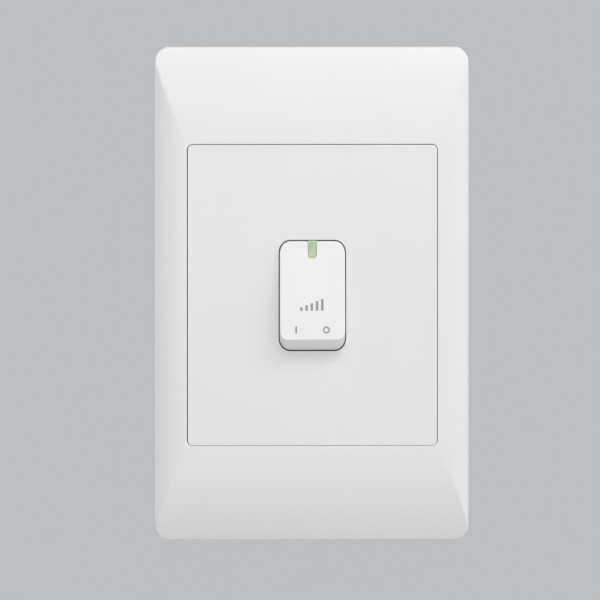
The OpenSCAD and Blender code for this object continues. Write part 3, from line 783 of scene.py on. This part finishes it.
def printed_symbols():
    """Rising bars for dimming, and the plain line and ring for on and off."""
    solid = Solid()
    for k in range(BARS):
        printed(solid, bar(BARS_X + BAR_STEP * k, BARS_Z, BAR_W, BAR_H + BAR_RISE * k))
    printed(solid, bar(LINE_X, LINE_Z, LINE_W, LINE_H))
    printed(solid, circle(RING_X, RING_Z, RING_R), circle(RING_X, RING_Z, RING_HOLE_R))
    piece = add("key_symbols", solid.mesh("key_symbols"))
    return dress(piece, "key", ink)


# ---------- Pieces that keep the CAD shape, with merged facets and rounded edges ----------


def refined(node, width, segments=2, angle=35):
    """A copy of a CAD node with flat faces in one piece and, given a width, bevelled edges."""
    source = frame["nodes"][node].data
    mesh = bpy.data.meshes.new(node + "_detail")
    work = bmesh.new()
    corners = [work.verts.new(v.co) for v in source.vertices]
    for polygon in source.polygons:
        work.faces.new([corners[i] for i in polygon.vertices])
    bmesh.ops.remove_doubles(work, verts=work.verts, dist=2e-6)
    bmesh.ops.dissolve_limit(work, angle_limit=math.radians(0.6),
                             verts=work.verts, edges=work.edges)
    bmesh.ops.recalc_face_normals(work, faces=work.faces)
    work.to_mesh(mesh)
    work.free()
    piece = add(node + "_detail", mesh)
    if width:
        soft = piece.modifiers.new("soft_edges", "BEVEL")
        soft.width, soft.segments = width * MM, segments
        soft.limit_method, soft.angle_limit = "ANGLE", math.radians(angle)
        soft.harden_normals = True
    return piece


# Node, material and width of the bevel
CAD_PIECES = (
    ("yoke", "zinc_steel", 0.12), ("module_screws", "screw_steel", 0.08),
    ("earth_screw", "brass_parts", 0.08), ("earth_washer", "brass_parts", 0.08),
    ("front_housing", "case_plastic", 0.2), ("rear_cover", "case_plastic", 0.25),
    ("case_screws", "black_screw", 0.06), ("circuit_board", "board_laminate", 0.06),
    ("tact_switch", "black_plastic", 0.08), ("tact_plunger", "plunger_plastic", 0.08),
    ("led", "lamp_resin", 0.08), ("contact_bars", "brass_parts", 0.08),
    ("choke_core", "ferrite", 0.3), ("choke_winding", "copper_wire", 0),
    ("film_capacitor", "yellow_resin", 0.3), ("triac", "black_plastic", 0.1),
    ("heat_spreader", "bare_aluminium", 0.1), ("triac_screw", "screw_steel", 0.06),
    ("fuse", "fuse_ceramic", 0.15), ("fuse_clips", "tinned_clip", 0.04),
    ("varistor", "blue_resin", 0.25), ("electrolytic_capacitor", "sleeve_film", 0.2),
    ("control_chip", "black_plastic", 0.06), ("diodes", "black_plastic", 0),
    ("resistors", "tan_lacquer", 0),
    ("terminal_cage_1", "terminal_steel", 0.12), ("terminal_cage_2", "terminal_steel", 0.12),
    ("terminal_cage_3", "terminal_steel", 0.12),
)


def cad_pieces():
    for node, slot, width in CAD_PIECES:
        body = frame["nodes"][node]["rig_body"]
        dress(refined(node, width), body, looks[slot], [node])


# ---------- Screws with threads and drives, and the spring ----------


def thread(solid, centre, axis, start, end, radius, pitch, steps=32):
    """A threaded rod whose flanks climb round it, running out at both ends."""
    axis = Vector(axis).normalized()
    side = axis.orthogonal().normalized()
    other = axis.cross(side)
    rows = max(8, round((end - start) / pitch * 8))
    depth = 0.6 * pitch
    loops = []
    for row in range(rows + 1):
        along = start + (end - start) * row / rows
        run_out = min(1, (along - start) / pitch, (end - along) / pitch)
        loop = []
        for k in range(steps):
            turn = k / steps
            phase = (along / pitch - turn) % 1
            height = 1 - abs(2 * phase - 1)
            reach = radius - depth + depth * max(0, min(1, height * 1.25)) * max(run_out, 0)
            a = 2 * math.pi * turn
            loop.append(Vector(centre) + axis * along
                        + (side * math.cos(a) + other * math.sin(a)) * reach)
        loops.append(loop)
    solid.skin(loops)


def screw_set(name, node, spots, axis, head, rod, drive, slot, pitch=0.8):
    """Screws along an axis. head is (start, thickness, radius), and rod is (radius, start of
    the thread, end)."""
    top, thick, radius = head
    heads, rods = Solid(), Solid()
    for spot in spots:
        heads.turned([(top, radius * 0.62), (top + thick * 0.06, radius * 0.8),
                      (top + thick * 0.22, radius * 0.94), (top + thick * 0.45, radius),
                      (top + thick - 0.06, radius), (top + thick, radius - 0.06)], spot, axis)
        neck = rod[0] * 0.88
        rods.turned([(top + thick - 0.3, neck), (rod[1] + 0.1, neck)], spot, axis, 32)
        thread(rods, spot, axis, rod[1], rod[2], rod[0], pitch)
    piece = add(name, heads.mesh(name))
    way = Vector(axis).normalized()
    upright = Vector((0, 1, 0)).rotation_difference(way).to_matrix().to_4x4()
    if drive == "cross":
        wide, deep, turns = radius * 0.6, thick * 0.65, (0, 90)
    else:
        wide, deep, turns = radius * 1.2, thick * 0.5, (0,)
    slim = radius * 0.13
    for spot in spots:
        spin = 0.35 + 0.9 * (spot[0] + 2 * spot[2]) % 1.3
        for turn in turns:
            shape = Solid().brick((-wide, -deep * 2, -slim), (wide, deep, slim), 0.05)
            tool = new_object("drive", shape.mesh("drive"))
            tool.matrix_world = (Matrix.Translation((Vector(spot) + way * top) * MM) @ upright
                                 @ Matrix.Rotation(spin + math.radians(turn), 4, "Y"))
            bpy.context.view_layer.update()
            cut(piece, tool)
    merge(piece, rods.mesh(name + "_rods"), 32)
    return dress(piece, frame["nodes"][node]["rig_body"], looks[slot], [node])


CAD_HEAD_R = 3.4        # the CAD node's box ends at its screws' heads
THREAD_R = 1.75
# Head's thickness and radius
BOX_HEAD, TERMINAL_HEAD = (2.2, 3.35), (1.8, 2.97)
BOX_THREAD_START = -0.2
TERMINAL_PITCH = 0.6


def box_and_terminal_screws():
    low, high = box_mm("box_screws")
    reach = high.z - CAD_HEAD_R
    screw_set("box_screws_detail", "box_screws", [(0, 0, reach), (0, 0, -reach)], (0, 1, 0),
              (low.y, *BOX_HEAD), (THREAD_R, BOX_THREAD_START, high.y), "cross", "screw_steel")
    for number in (1, 2, 3):
        node = f"terminal_screw_{number}"
        low, high = box_mm(node)
        spot = ((low.x + high.x) / 2, (low.y + high.y) / 2, 0)
        screw_set(node + "_detail", node, [spot], (0, 0, 1), (low.z, *TERMINAL_HEAD),
                  (THREAD_R, low.z + 1.9, high.z), "slot", "terminal_steel", TERMINAL_PITCH)


def spring_piece():
    """A wire coil between the key's boss and the well's floor, closer wound at both ends."""
    low, high = box_mm("return_spring")
    wire = SPRING_WIRE_R
    coil = (high.x - low.x) / 2 - wire
    centre_z = (low.z + high.z) / 2
    start, end = low.y + wire, high.y - wire
    steps, sides = 320, 12
    loops = []
    for k in range(steps + 1):
        t = k / steps
        a = 2 * math.pi * SPRING_TURNS * t
        late = SPRING_CLOSING * math.sin(2 * math.pi * t) / (2 * math.pi)
        y = start + (end - start) * (t - late)
        centre = Vector((coil * math.cos(a), y, centre_z + coil * math.sin(a)))
        outward = Vector((math.cos(a), 0, math.sin(a)))
        loops.append([centre + outward * wire * math.cos(b) + Vector((0, wire * math.sin(b), 0))
                      for b in (2 * math.pi * n / sides for n in range(sides))])
    piece = add("return_spring_coil", Solid().skin(loops).mesh("return_spring_coil"), 60)
    dress(piece, "base", looks["spring_steel"], ["return_spring"])
    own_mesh(piece)
    return piece


frame_piece()
panel_piece()
key_piece()
lens_piece()
printed_symbols()
cad_pieces()
box_and_terminal_screws()
spring_piece()

# ---------- Floor, lights and camera ----------


FLOOR_SIZE, FLOOR_BACK, FLOOR_LEVEL = 0.6, 0.5, -0.14


def floor():
    """A pale floor below the object and outside the photograph's view."""
    mesh = bpy.data.meshes.new("floor")
    size, back, level = FLOOR_SIZE, FLOOR_BACK, FLOOR_LEVEL
    mesh.from_pydata([(-size, -size, level), (size, -size, level), (size, back, level),
                      (-size, back, level)], [], [(0, 1, 2, 3)])
    ground = new_object("floor", mesh)
    mesh.materials.append(surface("floor_paint", (0.55, 0.555, 0.56), (0.53, 0.535, 0.54), 90,
                                  rough=(0.7, 0.85), grain_mm=2, relief_mm=0.02))


def area_light(name, place, size, watts):
    """A white rectangle of light aimed at the object, unseen by the camera."""
    lamp = bpy.data.lights.new(name, "AREA")
    lamp.shape, lamp.size, lamp.size_y = "RECTANGLE", size[0], size[1]
    lamp.energy = watts
    light = new_object(name, lamp)
    light.location = place
    light.visible_camera = False
    light.rotation_euler = (-Vector(place)).to_track_quat("-Z", "Y").to_euler()


# Light from each side of the surroundings: axis, direction along it, strength
SURROUNDINGS = (("X", 1, 0.58), ("X", -1, 0.85), ("Y", 1, 1.05), ("Z", -1, 0.04))
BACKGROUND = (0.508, 0.515, 0.527, 1)
# Lights: name, place, size, power
LIGHTS = (
    ("high_light", (0.22, -0.56, 0.82), (1.1, 0.28), 6.1),
    ("front_light", (-0.1, -1.3, 0.1), (0.9, 0.9), 4.3),
    ("right_light", (0.95, -0.55, 0.2), (0.8, 0.8), 2.1),
)


def studio():
    """Plain grey surroundings that light each side by its own amount, and soft area lights."""
    scene = bpy.context.scene
    world = bpy.data.worlds.new("studio")
    scene.world = world
    world.use_nodes = True
    nodes, links = world.node_tree.nodes, world.node_tree.links
    nodes.clear()

    def maths(kind, first, second):
        node = nodes.new("ShaderNodeMath")
        node.operation = kind
        for socket, value in zip(node.inputs, (first, second)):
            if isinstance(value, (int, float)):
                socket.default_value = value
            else:
                links.new(value, socket)
        return node.outputs["Value"]

    place = nodes.new("ShaderNodeTexCoord")
    split = nodes.new("ShaderNodeSeparateXYZ")
    links.new(place.outputs["Generated"], split.inputs["Vector"])
    total = None
    for axis, way, strength in SURROUNDINGS:
        share = maths("MAXIMUM", maths("MULTIPLY", split.outputs[axis], way * strength), 0.0)
        total = share if total is None else maths("ADD", total, share)
    seen, lit = nodes.new("ShaderNodeBackground"), nodes.new("ShaderNodeBackground")
    seen.inputs["Color"].default_value = BACKGROUND
    lit.inputs["Color"].default_value = (1, 1, 1, 1)
    links.new(total, lit.inputs["Strength"])
    path = nodes.new("ShaderNodeLightPath")
    choose = nodes.new("ShaderNodeMixShader")
    links.new(path.outputs["Is Camera Ray"], choose.inputs["Fac"])
    links.new(lit.outputs["Background"], choose.inputs[1])
    links.new(seen.outputs["Background"], choose.inputs[2])
    out = nodes.new("ShaderNodeOutputWorld")
    links.new(choose.outputs["Shader"], out.inputs["Surface"])
    for light in LIGHTS:
        area_light(*light)
    scene.view_settings.view_transform = "Standard"
    scene.view_settings.look = "None"


VIEW_WIDTH = 0.14377
VIEW_LEFT, VIEW_ABOVE = math.radians(1.1), math.radians(3.6)
# How far the plate's middle lies right of and above the picture's middle
OFF_RIGHT, OFF_UP = 0.002957, 0.001178


def camera():
    """The photograph's angle: a long lens, a little above and to the left of square on."""
    lens = bpy.data.cameras.new("camera")
    lens.lens, lens.sensor_width = 1200, 36
    lens.clip_start, lens.clip_end = 0.05, 20
    distance = VIEW_WIDTH / (lens.sensor_width / lens.lens)
    left, above = VIEW_LEFT, VIEW_ABOVE
    ahead = Vector((math.sin(left) * math.cos(above), math.cos(left) * math.cos(above),
                    -math.sin(above)))
    right = Vector((math.cos(left), -math.sin(left), 0))
    up = right.cross(ahead)
    cam = new_object("camera", lens)
    cam.location = (Vector((0, FRONT * MM, 0)) - ahead * distance
                    - right * OFF_RIGHT - up * OFF_UP)
    cam.rotation_euler = ahead.to_track_quat("-Z", "Y").to_euler()
    bpy.context.scene.camera = cam


floor()
studio()
camera()
